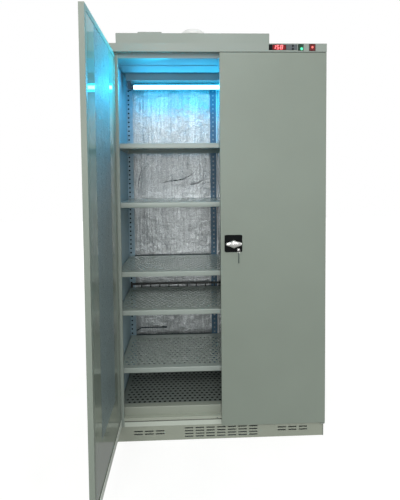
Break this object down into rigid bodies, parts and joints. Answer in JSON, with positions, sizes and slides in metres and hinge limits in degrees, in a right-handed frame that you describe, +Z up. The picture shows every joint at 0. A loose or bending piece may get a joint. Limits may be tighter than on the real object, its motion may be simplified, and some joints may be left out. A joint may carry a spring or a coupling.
{
  "type": "drying cabinet",
  "caption": "Tall steel drying cabinet with two hinged doors, foil-lined inside, perforated shelves, an ultraviolet lamp, slotted plinth and roof exhaust.",
  "frame": {"origin": "on the floor at the middle of the cabinet's footprint, with both doors closed", "axes": "+X to the right seen from the front, +Y from the doors to the back panel, +Z up"},
  "size_m": [1, 0.9995, 2.0116],
  "materials": {
    "painted_body": "satin powder coat",
    "painted_door": "satin powder coat",
    "painted_plinth": "satin powder coat",
    "painted_shelf": "satin powder coat, perforated",
    "foil": "crinkled reflective foil",
    "zinc": "zinc plated",
    "bright_steel": "polished",
    "heater_steel": "heat-tinted",
    "lamp_glass": "lit ultraviolet tube",
    "white_plastic": "moulded",
    "black_plastic": "moulded",
    "grey_plastic": "moulded",
    "display_lens": "dark red window",
    "green_lens": "lit rocker",
    "red_lens": "lit rocker",
    "dark_rubber": "moulded"
  },
  "bodies": {
    "cabinet": {"side_panel_left": "painted_body", "side_panel_right": "painted_body", "back_panel": "painted_body", "roof_panel": "painted_body", "header_fascia": "painted_body", "top_rail": "painted_body", "bottom_panel": "painted_body", "threshold": "painted_body", "plinth_front": "painted_plinth", "base_pan": "zinc", "back_liner": "foil", "side_liner_left": "painted_body", "side_liner_right": "painted_body", "ceiling_panel": "painted_body", "ceiling_baffle": "painted_body", "upright_left": "zinc", "upright_centre": "zinc", "upright_right": "zinc", "shelf_1": "painted_shelf", "shelf_2": "painted_shelf", "shelf_3": "painted_shelf", "shelf_4": "painted_shelf", "shelf_5": "painted_shelf", "bottom_tray": "painted_shelf", "lamp_housing": "painted_shelf", "lamp_tube": "lamp_glass", "lamp_holder_left": "white_plastic", "lamp_holder_right": "white_plastic", "heater_element": "heater_steel", "temperature_probe": "dark_rubber", "roof_box": "painted_body", "roof_hatch": "painted_body", "exhaust_cap": "white_plastic", "exhaust_motor": "zinc", "control_housing": "black_plastic", "display_window": "display_lens", "keypad_panel": "grey_plastic", "cable_gland": "dark_rubber", "hinge_pin_left_top": "bright_steel", "hinge_pin_left_bottom": "bright_steel", "hinge_pin_right_top": "bright_steel", "hinge_pin_right_bottom": "bright_steel"},
    "left_door": {"left_door_skin": "painted_door", "left_door_liner": "painted_door", "left_door_foil": "foil"},
    "right_door": {"right_door_skin": "painted_door", "right_door_liner": "painted_door", "right_door_foil": "foil", "handle_plate": "black_plastic"},
    "handle": {"wing_handle": "bright_steel", "lock_cam": "zinc"},
    "key": {"lock_key": "bright_steel"},
    "rod_upper": {"lock_rod_upper": "zinc"},
    "rod_lower": {"lock_rod_lower": "zinc"},
    "button_up": {"button_up": "black_plastic"},
    "button_down": {"button_down": "black_plastic"},
    "rocker_green": {"rocker_green": "green_lens"},
    "rocker_red": {"rocker_red": "red_lens"},
    "fan": {"exhaust_impeller": "black_plastic"}
  },
  "joints": [
    {"name": "left_door_hinge", "type": "hinge", "parent": "cabinet", "child": "left_door", "pos_m": [-0.4905, -0.242, 0.96], "axis": [0, 0, 1], "range_deg": [-25, 90]},
    {"name": "right_door_hinge", "type": "hinge", "parent": "cabinet", "child": "right_door", "pos_m": [0.4905, -0.242, 0.96], "axis": [0, 0, 1], "range_deg": [0, 115]},
    {"name": "handle_turn", "type": "hinge", "parent": "right_door", "child": "handle", "pos_m": [0.061, -0.26, 0.957], "axis": [0, -1, 0], "range_deg": [0, 90]},
    {"name": "key_turn", "type": "hinge", "parent": "right_door", "child": "key", "pos_m": [0.083, -0.26, 0.93], "axis": [0, 1, 0], "range_deg": [0, 90]},
    {"name": "rod_upper_slide", "type": "slide", "parent": "right_door", "child": "rod_upper", "axis": [0, 0, 1], "range_m": [0, 0.015]},
    {"name": "rod_lower_slide", "type": "slide", "parent": "right_door", "child": "rod_lower", "axis": [0, 0, -1], "range_m": [0, 0.015]},
    {"name": "button_up_press", "type": "slide", "parent": "cabinet", "child": "button_up", "axis": [0, 1, 0], "range_m": [0, 0.001], "stiffness_N_per_m": 300, "springref_m": -0.001},
    {"name": "button_down_press", "type": "slide", "parent": "cabinet", "child": "button_down", "axis": [0, 1, 0], "range_m": [0, 0.001], "stiffness_N_per_m": 300, "springref_m": -0.001},
    {"name": "rocker_green_tilt", "type": "hinge", "parent": "cabinet", "child": "rocker_green", "pos_m": [0.378, -0.25, 1.862], "axis": [-1, 0, 0], "range_deg": [0, 16]},
    {"name": "rocker_red_tilt", "type": "hinge", "parent": "cabinet", "child": "rocker_red", "pos_m": [0.432, -0.25, 1.8615], "axis": [-1, 0, 0], "range_deg": [0, 16]},
    {"name": "fan_spin", "type": "hinge", "parent": "cabinet", "child": "fan", "pos_m": [-0.115, -0.06, 1.927], "axis": [0, 0, 1], "continuous": true}
  ],
  "couplings": [
    {"joint": "rod_upper_slide", "follows": "handle_turn", "m_per_rad": 0.0095493},
    {"joint": "rod_lower_slide", "follows": "handle_turn", "m_per_rad": 0.0095493}
  ]
}
